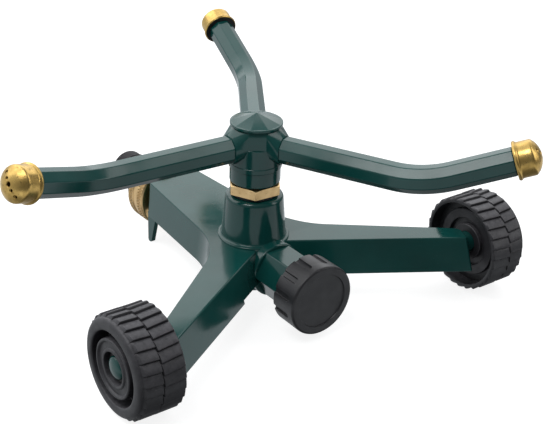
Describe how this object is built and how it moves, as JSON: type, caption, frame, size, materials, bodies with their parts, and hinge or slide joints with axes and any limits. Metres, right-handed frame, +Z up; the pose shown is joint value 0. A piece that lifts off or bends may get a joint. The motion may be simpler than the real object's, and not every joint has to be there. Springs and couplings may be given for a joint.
{
  "type": "rotary lawn sprinkler",
  "caption": "Rotary lawn sprinkler with spinning bent arms, screw-on brass nozzle caps, swivel hose inlet, spare capped outlet and a low cast base on wheels.",
  "frame": {"origin": "bottom centre of the whole machine's box, on the ground", "axes": "+X to the capped spare outlet and the wheels, -X to the hose inlet, +Y to the left wheel, +Z up along the spin axis"},
  "size_m": [0.2546, 0.2664, 0.1133],
  "materials": {
    "green_enamel": "glossy dark green stoving enamel",
    "aged_brass": "turned brass, slightly aged",
    "bright_brass": "clean machined brass",
    "wheel_plastic": "moulded satin black plastic",
    "cap_plastic": "moulded satin black plastic with a fine grain",
    "black_rubber": "matte rubber",
    "white_nylon": "natural nylon",
    "spring_steel": "plain steel"
  },
  "bodies": {
    "base": {"base_casting": "green_enamel", "bearing_nut": "bright_brass", "bearing_gasket": "black_rubber", "thrust_washer": "white_nylon", "inlet_stem": "bright_brass", "left_wheel_retainer": "spring_steel", "right_wheel_retainer": "spring_steel"},
    "rotor": {"spindle": "bright_brass", "rotor_head": "green_enamel", "rotor_cap": "green_enamel", "arm_tube_1": "green_enamel", "arm_tube_2": "green_enamel", "arm_tube_3": "green_enamel", "nozzle_gasket_1": "black_rubber", "nozzle_gasket_2": "black_rubber", "nozzle_gasket_3": "black_rubber"},
    "nozzle_1": {"nozzle_cap_1": "aged_brass"},
    "nozzle_2": {"nozzle_cap_2": "aged_brass"},
    "nozzle_3": {"nozzle_cap_3": "aged_brass"},
    "left_wheel": {"left_wheel": "wheel_plastic"},
    "right_wheel": {"right_wheel": "wheel_plastic"},
    "inlet": {"inlet_coupling": "bright_brass", "inlet_washer": "black_rubber", "inlet_filter": "spring_steel", "hose_adaptor": "cap_plastic", "adaptor_o_ring": "black_rubber"},
    "cap_travel": {"outlet_cap_washer": "black_rubber"},
    "cap": {"outlet_cap": "cap_plastic"}
  },
  "joints": [
    {"name": "rotor_spin", "type": "hinge", "parent": "base", "child": "rotor", "pos_m": [0.004, 0.012, 0.087], "axis": [0, 0, 1], "continuous": true},
    {"name": "nozzle_turn_1", "type": "hinge", "parent": "rotor", "child": "nozzle_1", "pos_m": [0.11531, 0.08534, 0.10226], "axis": [0.6307, 0.7029, 0.3289], "range_deg": [-180, 180]},
    {"name": "nozzle_turn_2", "type": "hinge", "parent": "rotor", "child": "nozzle_2", "pos_m": [-0.11517, 0.07173, 0.10226], "axis": [-0.9241, 0.1947, 0.3289], "range_deg": [-180, 180]},
    {"name": "nozzle_turn_3", "type": "hinge", "parent": "rotor", "child": "nozzle_3", "pos_m": [0.01186, -0.12107, 0.10226], "axis": [0.2934, -0.8976, 0.3289], "range_deg": [-180, 180]},
    {"name": "left_wheel_spin", "type": "hinge", "parent": "base", "child": "left_wheel", "pos_m": [0.0623, 0.12095, 0.026], "axis": [0, 1, 0], "continuous": true},
    {"name": "right_wheel_spin", "type": "hinge", "parent": "base", "child": "right_wheel", "pos_m": [0.0623, -0.09695, 0.026], "axis": [0, 1, 0], "continuous": true},
    {"name": "inlet_swivel", "type": "hinge", "parent": "base", "child": "inlet", "pos_m": [-0.086, 0.012, 0.0225], "axis": [1, 0, 0], "continuous": true},
    {"name": "cap_unscrew_travel", "type": "slide", "parent": "base", "child": "cap_travel", "axis": [1, 0, 0], "range_m": [0, 0.01105]},
    {"name": "cap_unscrew", "type": "hinge", "parent": "cap_travel", "child": "cap", "pos_m": [0.0557, 0.012, 0.0225], "axis": [1, 0, 0], "range_deg": [0, 1800]}
  ],
  "couplings": [
    {"joint": "cap_unscrew_travel", "follows": "cap_unscrew", "m_per_rad": 0.00035157}
  ]
}
